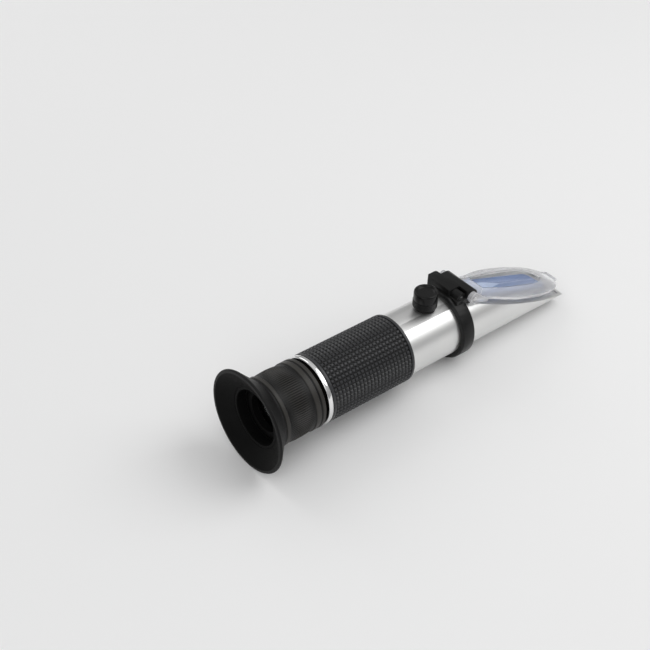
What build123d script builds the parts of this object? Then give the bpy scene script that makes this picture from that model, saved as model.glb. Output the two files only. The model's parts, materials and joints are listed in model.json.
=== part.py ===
from build123d import *
import os
from math import atan2, cos, radians, sin, sqrt, tan

# Hand-held optical refractometer: an aluminium barrel with a slanted prism nose
# under a hinged clear cover plate, a calibration knob, a rubber grip and a
# focusing eyepiece with a rubber eyecup.
# +X runs along the optical axis from the eyepiece to the nose and +Z is up, on
# the cover's side. The origin is on the optical axis, at the middle of the bare
# barrel between the grip and the hinge band. Millimetres throughout.

# Fits
slip = 0.06            # radial clearance of a turning or sliding fit
seat = 0.03            # radial clearance of a glued or pressed seat
film = 0.15            # gap for the liquid between the prism and the cover

# Barrel
barrel_r = 12.3
barrel_wall = 1.2
bare_length = 23.8     # bare metal between the grip and the hinge band
nose_lip = 5.0         # height of the blunt end
nose_cap = 1.5         # wall that closes the blunt end
cut_angle = 19.0       # slant of the prism face to the optical axis

# Grip
grip_length = 38.3
grip_wall = 1.2
grip_border = 1.3      # smooth border at each end
grip_groove_depth = 0.45
grip_groove_count = 48

# Trim ring between the grip and the focus ring
trim_width = 2.0
trim_proud = 1.2       # above the barrel's surface
trim_chamfer = 0.4
trim_gap = 1.2         # open gap between the trim ring and the focus ring

# Hinge band and its bracket
band_width = 6.0
band_wall = 2.0
band_chamfer = 0.5
bracket_in = 1.5       # from the band's rear face to the bracket
bracket_half = 7.2     # half width of the knuckle between the cover's arms
knuckle_r = 3.0
hinge_ahead = 2.8      # hinge axis ahead of the band's front face
hinge_rise = 1.5       # hinge axis above the barrel's surface
hinge_lift = 3.216     # hinge axis above the cut face
bar_far = 9.8          # far end of the rear bar
bar_near = -2.6        # near end of the rear bar, where the clamp lug starts
bar_width = 4.7
bar_corner = 0.94      # rounding of the bar's corners, seen from above
lug_r = 2.2
lug_near = -6.5
lug_in = 2.8           # from the bracket's rear face to the lug's axis
lug_rise = 2.0         # lug's axis above the barrel's surface
clamp_screw_r = 0.85
clamp_screw_length = 3.0
pin_r = 0.9
pin_proud = 0.2

# Cover plate, measured along the slant from the hinge axis
cover_lift = 1.2       # underside above the cut face of the barrel
cover_edge = 1.1       # upright edge below the bevel
cover_bevel = 1.7      # height of the bevel
cover_rear = 3.9
cover_tip = 0.83       # reach past the nose's edge
cover_shape = (        # share of the cover's length, half width
    (0, 8.2), (0.12, 8.0), (0.3, 10.1), (0.53, 11.1), (0.78, 10.0), (0.93, 7.5), (1, 4.4),
)
tab_length = 2.4
tab_half = 4.0
tab_thick = 1.5
window_rear = 9.5
window_end_gap = 7.5   # from the window's front end to the nose's edge
window_shape = ((0, 4.2), (0.22, 5.3), (0.53, 5.8), (0.9, 4.4), (1, 2.0))
window_recess = 0.35
window_border = 0.5    # flat border round the recess
arm_gap = 0.15         # between each arm and the knuckle
arm_wall = 1.8
arm_r = 2.2
arm_length = 8.6

# Prism and its seat
prism_rear = 5.6
prism_end_gap = 7.87   # from the prism's front end to the nose's edge
prism_half = 5.5
prism_corner = 2.4
prism_front_depth = 2.6
prism_foot = -1.5      # height of the foot of the rear face
seat_drop = 0.3        # seat's top below the cut face
seat_depth = 3.6
seat_ahead = 1.5       # seat's rear end ahead of the band's front face
seal_width = 0.8
seal_depth = 0.9

# Stops inside the barrel
baffle_wall = 1.0
front_baffle_in = 2.6  # ahead of the band's rear face
front_baffle_hole = 5.5
rear_baffle_x = -30.0
rear_baffle_hole = 7.0

# Calibration knob, screw and thrust pad
knob_x = 3.7
knob_r = 4.55
knob_base_r = 4.3
knob_height = 7.4      # knob's top above the barrel's surface
knob_gap = 0.75        # knob's foot above the barrel's surface
knob_cap = 3.6         # height of the plain cap over the ribbed base
knob_chamfer = 0.4
knob_rim = 0.8         # flat rim round the dish
knob_dish = 0.35
knob_rib = 0.25
knob_rib_count = 3
knob_recess_r = 3.1
knob_recess = 1.2
knob_roof = 2.5        # from the screw's top to the knob's top
screw_r = 1.5
screw_chamfer = 0.3
screw_gap = 0.02       # between the screw's tip and the pad
bush_r = 2.6
bush_below = 0.3       # bush's foot below the barrel's wall
bush_above = 1.1       # bush's top above the barrel's surface
gasket_r = 4.1
gasket_above = 0.2
pad_r = 1.3
pad_thick = 0.75
pad_gap = 0.05         # between the pad and the carrier's boss
pad_bevel = 0.4

# Lens carrier
carrier_gap = 1.7      # open gap between the carrier and the barrel
carrier_wall = 1.4
carrier_tail = 3.0     # carrier's rear end behind its pivots
carrier_cone = 2.4     # length of the cone ahead of the objective
carrier_boss_r = 2.2
carrier_boss = 0.5
carrier_lip = 1.0      # both ways: length and height
pivot_in = 3.1         # pivots behind the grip's front end
pivot_r = 1.0
pivot_reach = 0.9      # how far each pivot pin enters the carrier's wall
objective_x = 5.6      # front edge of the objective's rim
objective_edge = 2.2
objective_bulge = 0.6
lens_rim = 1.46        # flat rim of each lens
lock_wall = 1.0        # length of each screwed lock ring
lock_height = 1.1
spring_rear = -4.0
spring_front = 8.0
spring_half = 2.0
spring_thick = 0.3

# Eyepiece sleeve and reticle
sleeve_in = 6.2        # sleeve's front ahead of the grip's rear end
sleeve_back = 4.5      # sleeve's rear ahead of the focus ring's rear end
sleeve_wall = 1.42
sleeve_lip = 1.2
sleeve_lip_height = 0.75
reticle_thick = 1.5

# Focusing lens cell
cell_length = 12.75    # from the shoulder to the front end
cell_shoulder_in = 2.75          # shoulder ahead of the focus ring's rear end
cell_neck_in = 0.1               # neck's end ahead of the focus ring's rear end
cell_wall = 1.3
cell_lip = 0.89
neck_wall = 1.3
retainer_height = 1.3
retainer_wall = 1.05
eye_edge = 2.0
eye_bulge = 0.7
field_in = 1.9         # field lens behind the cell's front end
field_edge = 1.6
field_bulge = 0.6
spacer_wall = 0.9
guide_in = 6.5         # guide pin ahead of the sleeve's rear end
guide_r = 0.75
guide_gap = 0.15       # between the pin's tip and the slot's floor
slot_floor = 0.56      # wall left under the slot
focus_in = 0.85        # travel towards the barrel
focus_out = 2.5        # travel away from the barrel

# Focus ring
ring_length = 17.6
ring_proud = 1.1       # above the barrel's surface
ring_chamfer = 0.6
ring_wall_rear = 1.25  # rear wall that drives the cell
ring_groove = 0.35
ring_groove_in = 2.0   # collar line, from the front face
ring_flute_count = 48
flute_depth = 0.3
flute_front = 4.2      # smooth shoulder ahead of the flutes
flute_rear = 2.2       # smooth shoulder behind the flutes
recess_gap = 0.2       # round the retainer
spigot_step = 0.6      # spigot's bore outside the recess
spigot_wall = 1.2
spigot_length = 4.0

# Eyecup
cup_length = 7.8
cup_straight = 1.8
cup_rim_r = 20.0
cup_lip = 1.3          # thickness of the lip
cup_lip_chamfer = 0.4
cup_flare_r = 3.2      # rounding where the flare starts
cup_flare_share = 0.9  # most of the straight collar that the rounding may take up

# Stations along the optical axis
barrel_bore = barrel_r - barrel_wall
fitted_r = barrel_bore - seat     # what is glued or pressed into the barrel
grip_front = -bare_length / 2
grip_rear = grip_front - grip_length
grip_r = barrel_r + grip_wall
trim_rear = grip_rear - trim_width
trim_r = barrel_r + trim_proud
band_rear = bare_length / 2
band_front = band_rear + band_width
band_r = barrel_r + band_wall
bracket_x = band_rear + bracket_in
ring_front = trim_rear - trim_gap
ring_rear = ring_front - ring_length
ring_r = barrel_r + ring_proud
spigot_rear = ring_rear - spigot_length
cup_rear = ring_rear - cup_length

# Hinge axis and clamp lug
hinge_x = band_front + hinge_ahead
hinge_z = barrel_r + hinge_rise
bracket_top = hinge_z + knuckle_r
lug_x = bracket_x + lug_in
lug_z = barrel_r + lug_rise

# The cut face, and a frame on it with its origin below the hinge axis
slant = radians(cut_angle)
lip_z = nose_lip - barrel_r
nose_end = hinge_x + ((hinge_z - lip_z) * cos(slant) - hinge_lift) / sin(slant)
slope_x = hinge_x - hinge_lift * sin(slant)
slope_z = hinge_z - hinge_lift * cos(slant)
slope_end = (nose_end - slope_x) / cos(slant)     # the nose's edge, along the slant
prism_front = slope_end - prism_end_gap
cover_front = slope_end + cover_tip
window_front = slope_end - window_end_gap

# Heights of the calibration stack, from the carrier up to the knob
carrier_r = barrel_bore - carrier_gap
carrier_bore = carrier_r - carrier_wall
carrier_lip_hole = carrier_bore - carrier_lip
carrier_boss_top = carrier_r + carrier_boss
pad_foot = carrier_boss_top + pad_gap
pad_top = pad_foot + pad_thick
screw_tip = pad_top + screw_gap
knob_base = barrel_r + knob_gap
knob_top = barrel_r + knob_height
knob_split = knob_top - knob_cap
screw_top = knob_top - knob_roof
pivot_x = grip_front - pivot_in
carrier_rear = pivot_x - carrier_tail
carrier_front = objective_x + carrier_lip + carrier_cone
objective_r = carrier_bore - seat

# Radii and stations of the eyepiece
sleeve_front = grip_rear + sleeve_in
sleeve_rear = ring_rear + sleeve_back
sleeve_bore = fitted_r - sleeve_wall
reticle_front = sleeve_front - sleeve_lip
reticle_rear = reticle_front - reticle_thick
reticle_r = sleeve_bore - seat
cell_r = sleeve_bore - slip
cell_bore = cell_r - cell_wall
cell_hole = cell_bore - cell_lip
cell_neck_r = cell_hole + neck_wall
cell_shoulder = ring_rear + cell_shoulder_in
cell_front = cell_shoulder + cell_length
cell_rear = ring_rear + cell_neck_in
eye_r = cell_bore - seat
field_x = cell_front - field_in
field_rear = field_x - field_edge
guide_x = sleeve_rear + guide_in
guide_slot_floor = cell_bore + slot_floor
guide_tip = guide_slot_floor + guide_gap
retainer_r = cell_neck_r + retainer_height
recess_r = retainer_r + recess_gap
spigot_bore = recess_r + spigot_step
spigot_r = spigot_bore + spigot_wall


def slope(height=0.0):
    """The plane parallel to the cut face, at a height above it."""
    origin = (slope_x + height * sin(slant), 0, slope_z + height * cos(slant))
    return Plane(origin=origin, x_dir=(cos(slant), 0, -sin(slant)), z_dir=(sin(slant), 0, cos(slant)))


def on_slope(along, height):
    """(x, z) of a point given along the slant and above the cut face."""
    x = slope_x + along * cos(slant) + height * sin(slant)
    z = slope_z - along * sin(slant) + height * cos(slant)
    return x, z


def section(*points):
    """A closed outline of (x, radius) points, to be turned about the optical axis."""
    with BuildSketch(Plane.XZ) as sketch:
        with BuildLine():
            Polyline(*points, close=True)
        make_face()
    return sketch.sketch


def tube(x_low, x_high, r_in, r_out):
    """The section of a plain ring or tube."""
    return section((x_low, r_in), (x_high, r_in), (x_high, r_out), (x_low, r_out))


def lens(x_flat, x_rim, radius, bulge):
    """The half section of a lens, flat on one side and bulging past its rim on the other."""
    clear = radius - lens_rim
    crown = x_rim + bulge if x_rim > x_flat else x_rim - bulge
    with BuildSketch(Plane.XZ) as sketch:
        with BuildLine():
            TangentArc((crown, 0), (x_rim, clear), tangent=(0, 1))
            Polyline((x_rim, clear), (x_rim, radius), (x_flat, radius), (x_flat, 0), (crown, 0))
        make_face()
    return sketch.sketch


def grooves(x_low, x_high, radius, depth, count):
    """Straight V-shaped cutters along a round body, evenly spaced round it."""
    with BuildSketch(Plane.YZ.offset(x_low)) as sketch:
        with PolarLocations(radius, count):
            Rectangle(sqrt(2) * depth, sqrt(2) * depth, rotation=45)
    return extrude(sketch.sketch, amount=x_high - x_low, mode=Mode.PRIVATE)


def slot_plan(margin, plane):
    """The prism's rounded outline on the slant, grown by a margin."""
    with BuildSketch(plane) as sketch:
        with Locations(((prism_rear + prism_front) / 2, 0)):
            RectangleRounded(prism_front - prism_rear + 2 * margin, 2 * (prism_half + margin),
                             prism_corner + margin)
    return sketch.sketch


def cover_outline(shape, rear, front, margin=0.0):
    """A closed outline, symmetric about the slant's centre line, from its half widths."""
    low, high = rear + margin, front - margin
    upper = [(low + share * (high - low), half - margin) for share, half in shape]
    lower = [(along, -half) for along, half in reversed(upper)]
    with BuildSketch() as sketch:
        with BuildLine():
            Spline(*upper)
            Line(upper[-1], lower[0])
            Spline(*lower)
            Line(lower[-1], upper[0])
        make_face()
    return sketch.sketch


def save(part, name):
    """Label a finished piece and write its file."""
    part.label = name
    export_step(part, f"parts/{name}.step")


os.makedirs("parts", exist_ok=True)

# Main tube: one turned aluminium body, cut obliquely at the nose
with BuildPart() as main_tube:
    revolve(
        section(
            (grip_rear, barrel_bore), (nose_end - nose_cap, barrel_bore), (nose_end - nose_cap, 0),
            (nose_end, 0), (nose_end, barrel_r), (grip_rear, barrel_r),
        ),
        axis=Axis.X,
    )
    split(bisect_by=slope(), keep=Keep.BOTTOM)
    with BuildSketch(Plane.XY.offset(barrel_r)):
        with Locations((knob_x, 0)):
            Circle(bush_r + seat)
    extrude(amount=-2 * barrel_wall, mode=Mode.SUBTRACT)
    with BuildSketch(Plane.XZ):
        with Locations((pivot_x, 0)):
            Circle(pivot_r + seat)
    extrude(amount=2 * barrel_r, both=True, mode=Mode.SUBTRACT)
save(main_tube.part, "main_tube")

# Rubber grip, grooved between two smooth borders
with BuildPart() as rubber_grip:
    revolve(tube(grip_rear, grip_front, barrel_r + seat, grip_r), axis=Axis.X)
    add(grooves(grip_rear + grip_border, grip_front - grip_border, grip_r, grip_groove_depth,
                 grip_groove_count),
        mode=Mode.SUBTRACT)
save(rubber_grip.part, "rubber_grip")

# Bright trim ring behind the grip
with BuildPart() as trim_ring:
    revolve(tube(trim_rear, grip_rear, fitted_r + seat, trim_r), axis=Axis.X)
    outer_edges = trim_ring.edges().filter_by(GeomType.CIRCLE).group_by(SortBy.RADIUS)[-1]
    chamfer(outer_edges, length=trim_chamfer)
save(trim_ring.part, "trim_ring")

# Hinge band: a ring on the barrel with the cover's bracket on top
with BuildPart() as hinge_band:
    bar_x = bracket_x + bar_width / 2
    with BuildSketch(Plane.XY.offset(bracket_top)):
        with Locations((bar_x, (bar_far + bar_near) / 2)):
            RectangleRounded(bar_width, bar_far - bar_near, bar_corner)
    extrude(amount=-(bracket_top - barrel_r + barrel_wall))
    with BuildSketch(Plane.XZ.offset(-bar_near)):
        with Locations((lug_x, lug_z)):
            Circle(lug_r)
        with Locations((lug_x, lug_z - lug_r)):
            Rectangle(2 * lug_r, 2 * lug_r)
    extrude(amount=bar_near - lug_near)
    with BuildSketch(Plane.YZ.offset(band_rear)):
        Circle(barrel_r + band_wall / 2)
    extrude(amount=2 * band_width, mode=Mode.SUBTRACT)
    foot = on_slope(0, hinge_lift - knuckle_r)
    heel = on_slope((bracket_x + bracket_in - slope_x) / cos(slant), hinge_lift - knuckle_r)
    bracket_foot = barrel_r + seat
    with BuildSketch(Plane.XZ):
        with BuildLine():
            Polyline((hinge_x, bracket_top), (bracket_x, bracket_top), (bracket_x, bracket_foot), heel, foot)
            ThreePointArc(foot, (hinge_x + knuckle_r, hinge_z), (hinge_x, bracket_top))
        make_face()
    extrude(amount=bracket_half, both=True)
    with BuildSketch(Plane.XY.offset(bracket_top)):
        with Locations((bracket_x, bar_near)):
            Rectangle(lug_x + lug_r - bracket_x + seat, bracket_half, align=(Align.MIN, Align.MAX))
    extrude(amount=-(bracket_top - lug_z), mode=Mode.SUBTRACT)
    with BuildSketch(Plane.XZ.offset(-bar_near)):
        with Locations((lug_x, lug_z)):
            Circle(lug_r)
    extrude(amount=bar_near - lug_near)
    revolve(
        section(
            (band_rear, barrel_r + seat), (band_front, barrel_r + seat),
            (band_front, band_r - band_chamfer), (band_front - band_chamfer, band_r),
            (band_rear + band_chamfer, band_r), (band_rear, band_r - band_chamfer),
        ),
        axis=Axis.X,
    )
    with BuildSketch(Plane.XZ.offset(-lug_near)):
        with Locations((lug_x, lug_z)):
            Circle(clamp_screw_r + seat)
    extrude(amount=-clamp_screw_length, mode=Mode.SUBTRACT)
    with BuildSketch(Plane.XZ):
        with Locations((hinge_x, hinge_z)):
            Circle(pin_r + seat)
    extrude(amount=bar_far, both=True, mode=Mode.SUBTRACT)
save(hinge_band.part, "hinge_band")

# Set screw in the clamp lug of the band
with BuildPart() as band_screw:
    with BuildSketch(Plane.XZ.offset(-lug_near)):
        with Locations((lug_x, lug_z)):
            Circle(clamp_screw_r)
    extrude(amount=-clamp_screw_length)
    socket_face = band_screw.faces().sort_by(Axis.Y)[0]
    with BuildSketch(socket_face):
        RegularPolygon(clamp_screw_r / 2, 6)
    extrude(amount=-clamp_screw_r, mode=Mode.SUBTRACT)
save(band_screw.part, "band_screw")

# Hinge pin, held in the knuckle, with the cover's arms turning on its ends
with BuildPart() as hinge_pin:
    pin_end = bracket_half + arm_gap + arm_wall + pin_proud
    with BuildSketch(Plane.XZ.offset(-pin_end)):
        with Locations((hinge_x, hinge_z)):
            Circle(pin_r)
    extrude(amount=2 * pin_end)
    chamfer(hinge_pin.edges().filter_by(GeomType.CIRCLE), length=pin_proud)
save(hinge_pin.part, "hinge_pin")

# Prism: a glass wedge under the slanted face, rounded at its corners
with BuildPart() as prism:
    stand = cover_lift - film
    rear_top = on_slope(prism_rear, stand)
    front_top = on_slope(prism_front, stand)
    front_foot = on_slope(prism_front, stand - prism_front_depth)
    with BuildSketch(Plane.XZ):
        with BuildLine():
            Polyline(rear_top, front_top, front_foot, (rear_top[0], prism_foot), close=True)
        make_face()
    extrude(amount=prism_half, both=True)
    add(extrude(slot_plan(0, slope(stand)), amount=-2 * barrel_r, mode=Mode.PRIVATE), mode=Mode.INTERSECT)
save(prism.part, "prism")

# Prism seat: the moulded bed that closes the slanted opening around the prism
seat_rear = band_front + seat_ahead
with BuildPart() as prism_seat:
    revolve(section((seat_rear, 0), (nose_end - nose_cap, 0), (nose_end - nose_cap, fitted_r),
                    (seat_rear, fitted_r)), axis=Axis.X)
    split(bisect_by=slope(-seat_drop), keep=Keep.BOTTOM)
    split(bisect_by=slope(-seat_drop - seat_depth), keep=Keep.TOP)
    add(extrude(slot_plan(seat, slope(cover_lift)), amount=-2 * barrel_r, mode=Mode.PRIVATE),
        mode=Mode.SUBTRACT)
    add(extrude(slot_plan(seal_width, slope(cover_lift)), amount=-(cover_lift + seat_drop + seal_depth),
                mode=Mode.PRIVATE), mode=Mode.SUBTRACT)
save(prism_seat.part, "prism_seat")

# Prism seal: a rubber frame in the groove between the prism and its seat
with BuildPart() as prism_seal:
    with BuildSketch(slope(-seat_drop)):
        add(slot_plan(seal_width - seat, Plane.XY))
        add(slot_plan(seat, Plane.XY), mode=Mode.SUBTRACT)
    extrude(amount=-seal_depth)
save(prism_seal.part, "prism_seal")

# Stops that keep stray light off the reticle
front_baffle_x = band_rear + front_baffle_in
with BuildPart() as front_baffle:
    revolve(tube(front_baffle_x, front_baffle_x + baffle_wall, front_baffle_hole, fitted_r), axis=Axis.X)
save(front_baffle.part, "front_baffle")

with BuildPart() as rear_baffle:
    revolve(tube(rear_baffle_x, rear_baffle_x + baffle_wall, rear_baffle_hole, fitted_r), axis=Axis.X)
save(rear_baffle.part, "rear_baffle")

# Threaded bush for the calibration screw, set in the barrel's wall
with BuildPart() as screw_bush:
    with BuildSketch(Plane.XY.offset(barrel_bore - bush_below)):
        with Locations((knob_x, 0)):
            Circle(bush_r)
            Circle(screw_r + slip, mode=Mode.SUBTRACT)
    extrude(amount=bush_below + barrel_wall + bush_above)
save(screw_bush.part, "screw_bush")

# Saddle gasket between the knob and the round barrel
with BuildPart() as knob_gasket:
    with BuildSketch(Plane.XY.offset(barrel_bore)):
        with Locations((knob_x, 0)):
            Circle(gasket_r)
            Circle(bush_r + seat, mode=Mode.SUBTRACT)
    extrude(amount=barrel_wall + gasket_above)
    with BuildSketch(Plane.YZ.offset(knob_x - 2 * gasket_r)):
        Circle(barrel_r)
    extrude(amount=4 * gasket_r, mode=Mode.SUBTRACT)
save(knob_gasket.part, "knob_gasket")

# Calibration knob: a plain rounded cap over a ribbed base
with BuildPart() as calibration_knob:
    rib_pitch = (knob_split - knob_base) / knob_rib_count
    ribs = []
    for rib in range(knob_rib_count):
        low = knob_base + rib * rib_pitch
        ribs += [(knob_base_r, low), (knob_base_r - knob_rib, low + rib_pitch / 2)]
    with BuildSketch(Plane.XZ.move(Location((knob_x, 0, 0)))):
        with BuildLine():
            Polyline((0, screw_top), (screw_r, screw_top), (screw_r, knob_base + knob_recess),
                     (knob_recess_r, knob_base + knob_recess), (knob_recess_r, knob_base),
                     *ribs, (knob_base_r, knob_split), (knob_r, knob_split),
                     (knob_r, knob_top), (knob_r - knob_rim, knob_top), (0, knob_top - knob_dish),
                     (0, screw_top))
        make_face()
    revolve(axis=Axis((knob_x, 0, 0), (0, 0, 1)))
    rim_edges = calibration_knob.edges().filter_by(GeomType.CIRCLE).group_by(Axis.Z)[-1]
    chamfer(rim_edges.sort_by(SortBy.RADIUS)[-1], length=knob_chamfer)
save(calibration_knob.part, "calibration_knob")

# Calibration screw, fixed in the knob and threaded through the bush
with BuildPart() as calibration_screw:
    with BuildSketch(Plane.XY.offset(screw_tip)):
        with Locations((knob_x, 0)):
            Circle(screw_r)
    extrude(amount=screw_top - screw_tip)
    chamfer(calibration_screw.edges().group_by(Axis.Z)[0], length=screw_chamfer)
save(calibration_screw.part, "calibration_screw")

# Thrust pad at the screw's tip, bevelled where it bears on the lens carrier
with BuildPart() as thrust_pad:
    with BuildSketch(Plane.XY.offset(pad_foot)):
        with Locations((knob_x, 0)):
            Circle(pad_r)
    extrude(amount=pad_top - pad_foot)
    chamfer(thrust_pad.edges().group_by(Axis.Z)[0], length=pad_bevel)
save(thrust_pad.part, "thrust_pad")

# Pivot pins of the lens carrier, pressed through the barrel under the grip
with BuildPart() as carrier_pivots:
    pivot_inner = carrier_r - pivot_reach
    pivot_outer = barrel_r - seat
    with BuildSketch(Plane.XZ.offset(-pivot_outer)):
        with Locations((pivot_x, 0)):
            Circle(pivot_r)
    extrude(amount=pivot_outer - pivot_inner)
    mirror(about=Plane.XZ)
save(carrier_pivots.part, "carrier_pivots")

# Lens carrier: a tube that tilts on the pivots, with a boss under the screw
with BuildPart() as lens_carrier:
    revolve(
        section(
            (carrier_rear, carrier_bore), (objective_x, carrier_bore), (objective_x, carrier_lip_hole),
            (objective_x + carrier_lip, carrier_lip_hole), (carrier_front, carrier_bore),
            (carrier_front, carrier_r), (carrier_rear, carrier_r),
        ),
        axis=Axis.X,
    )
    with BuildSketch(Plane.XY.offset(carrier_boss_top)):
        with Locations((knob_x, 0)):
            Circle(carrier_boss_r)
    extrude(amount=-(carrier_boss + carrier_wall / 2))
    with BuildSketch(Plane.XZ):
        with Locations((pivot_x, 0)):
            Circle(pivot_r + slip)
    extrude(amount=2 * carrier_r, both=True, mode=Mode.SUBTRACT)
save(lens_carrier.part, "lens_carrier")

# Objective lens, its rim against the carrier's lip
with BuildPart() as objective_lens:
    revolve(lens(objective_x - objective_edge, objective_x, objective_r, objective_bulge), axis=Axis.X)
save(objective_lens.part, "objective_lens")

# Lock ring behind the objective
with BuildPart() as objective_ring:
    ring_face = objective_x - objective_edge
    revolve(tube(ring_face - lock_wall, ring_face, objective_r - lock_height, objective_r), axis=Axis.X)
save(objective_ring.part, "objective_ring")

# Bowed leaf spring that lifts the carrier against the thrust pad
with BuildPart() as return_spring:
    crown = -carrier_r - seat
    spring_floor = -sqrt(barrel_bore**2 - spring_half**2) + spring_thick + seat
    spring_mid = (spring_rear + spring_front) / 2
    with BuildSketch(Plane.XZ):
        with BuildLine():
            ThreePointArc((spring_rear, spring_floor), (spring_mid, crown), (spring_front, spring_floor))
            Line((spring_front, spring_floor), (spring_front, spring_floor - spring_thick))
            ThreePointArc((spring_front, spring_floor - spring_thick), (spring_mid, crown - spring_thick),
                          (spring_rear, spring_floor - spring_thick))
            Line((spring_rear, spring_floor - spring_thick), (spring_rear, spring_floor))
        make_face()
    extrude(amount=spring_half, both=True)
save(return_spring.part, "return_spring")

# Eyepiece sleeve, fixed in the barrel's rear end, with a lip for the reticle
sleeve_lip_hole = sleeve_bore - sleeve_lip_height
with BuildPart() as eyepiece_sleeve:
    revolve(
        section(
            (sleeve_rear, sleeve_bore), (sleeve_front - sleeve_lip, sleeve_bore),
            (sleeve_front - sleeve_lip, sleeve_lip_hole), (sleeve_front, sleeve_lip_hole),
            (sleeve_front, fitted_r), (sleeve_rear, fitted_r),
        ),
        axis=Axis.X,
    )
    with BuildSketch(Plane.XY):
        with Locations((guide_x, 0)):
            Circle(guide_r + seat)
    extrude(amount=2 * barrel_r, mode=Mode.SUBTRACT)
save(eyepiece_sleeve.part, "eyepiece_sleeve")

# Guide pin that keeps the lens cell from turning
with BuildPart() as guide_pin:
    with BuildSketch(Plane.XY.offset(guide_tip)):
        with Locations((guide_x, 0)):
            Circle(guide_r)
    extrude(amount=sqrt(fitted_r**2 - guide_r**2) - guide_tip)
save(guide_pin.part, "guide_pin")

# Reticle glass with its lock ring
with BuildPart() as reticle:
    revolve(
        section(
            (reticle_rear, 0), (reticle_front, 0), (reticle_front, reticle_r),
            (reticle_rear, reticle_r),
        ),
        axis=Axis.X,
    )
save(reticle.part, "reticle")

with BuildPart() as reticle_ring:
    revolve(tube(reticle_rear - lock_wall, reticle_rear, reticle_r - lock_height, reticle_r), axis=Axis.X)
save(reticle_ring.part, "reticle_ring")

# Lens cell: slides in the sleeve, and its neck carries the focus ring
with BuildPart() as lens_cell:
    revolve(
        section(
            (cell_front, cell_bore), (cell_shoulder, cell_bore), (cell_shoulder, cell_hole),
            (cell_rear, cell_hole), (cell_rear, cell_neck_r), (cell_shoulder, cell_neck_r),
            (cell_shoulder, cell_r), (cell_front, cell_r),
        ),
        axis=Axis.X,
    )
    slot_front = guide_x + focus_out + guide_r
    slot_rear = guide_x - focus_in - guide_r
    with BuildSketch(Plane.XY.offset(guide_slot_floor)):
        with Locations(((slot_front + slot_rear) / 2, 0)):
            SlotOverall(slot_front - slot_rear + 2 * slip, 2 * (guide_r + slip))
    extrude(amount=barrel_r, mode=Mode.SUBTRACT)
save(lens_cell.part, "lens_cell")

# Eye lens, flat side against the cell's rear lip
with BuildPart() as eye_lens:
    revolve(lens(cell_shoulder, cell_shoulder + eye_edge, eye_r, eye_bulge), axis=Axis.X)
save(eye_lens.part, "eye_lens")

# Field lens, the spacer between the two lenses, and the lock ring in front
with BuildPart() as field_lens:
    revolve(lens(field_x, field_rear, eye_r, field_bulge), axis=Axis.X)
save(field_lens.part, "field_lens")

with BuildPart() as lens_spacer:
    revolve(tube(cell_shoulder + eye_edge, field_rear, eye_r - spacer_wall, eye_r), axis=Axis.X)
save(lens_spacer.part, "lens_spacer")

with BuildPart() as field_ring:
    revolve(tube(field_x, field_x + lock_wall, eye_r - lock_height, eye_r), axis=Axis.X)
save(field_ring.part, "field_ring")

# Focus ring: turns on the sleeve's thread and draws the cell along
wall_front = cell_shoulder
wall_rear = wall_front - ring_wall_rear
with BuildPart() as focus_ring:
    collar_x = ring_front - ring_groove_in
    revolve(
        section(
            (ring_front, fitted_r + slip), (ring_front, ring_r - ring_groove),
            (ring_front - ring_groove, ring_r), (collar_x + ring_groove, ring_r),
            (collar_x, ring_r - ring_groove), (collar_x - ring_groove, ring_r),
            (ring_rear + ring_chamfer, ring_r), (ring_rear, ring_r - ring_chamfer), (ring_rear, spigot_r),
            (spigot_rear, spigot_r), (spigot_rear, spigot_bore), (ring_rear, spigot_bore),
            (ring_rear, recess_r), (wall_rear, recess_r), (wall_rear, cell_neck_r + slip),
            (wall_front - slip, cell_neck_r + slip), (wall_front - slip, fitted_r + slip),
        ),
        axis=Axis.X,
    )
    add(grooves(ring_rear + flute_rear, ring_front - flute_front, ring_r, flute_depth, ring_flute_count),
        mode=Mode.SUBTRACT)
save(focus_ring.part, "focus_ring")

# Retainer on the cell's neck, behind the focus ring's rear wall
with BuildPart() as cell_retainer:
    retainer_front = wall_rear - slip
    revolve(
        tube(retainer_front - retainer_wall, retainer_front, cell_neck_r + seat, retainer_r),
        axis=Axis.X,
    )
save(cell_retainer.part, "cell_retainer")

# Rubber eyecup: a short straight collar and a hollow flare with a bevelled lip
with BuildPart() as eyecup:
    flare_x = ring_rear - cup_straight
    throat_x = spigot_rear - seat
    throat_r = spigot_r + seat
    lip_x = cup_rear + cup_lip_chamfer
    inner_rim_r = cup_rim_r - cup_lip
    flare_turn = atan2(cup_rim_r - ring_r, flare_x - lip_x - cup_lip_chamfer)
    flare_r = min(cup_flare_r, cup_flare_share * cup_straight / tan(flare_turn / 2))
    with BuildSketch(Plane.XZ):
        with BuildLine():
            FilletPolyline((ring_rear, ring_r), (flare_x, ring_r), (lip_x + cup_lip_chamfer, cup_rim_r),
                           radius=flare_r)
            Polyline((lip_x + cup_lip_chamfer, cup_rim_r), (lip_x, cup_rim_r),
                     (cup_rear, cup_rim_r - cup_lip_chamfer), (cup_rear, inner_rim_r))
            Polyline((cup_rear, inner_rim_r), (throat_x, throat_r), (ring_rear, throat_r),
                     (ring_rear, ring_r))
        make_face()
    revolve(axis=Axis.X)
save(eyecup.part, "eyecup")

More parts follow.
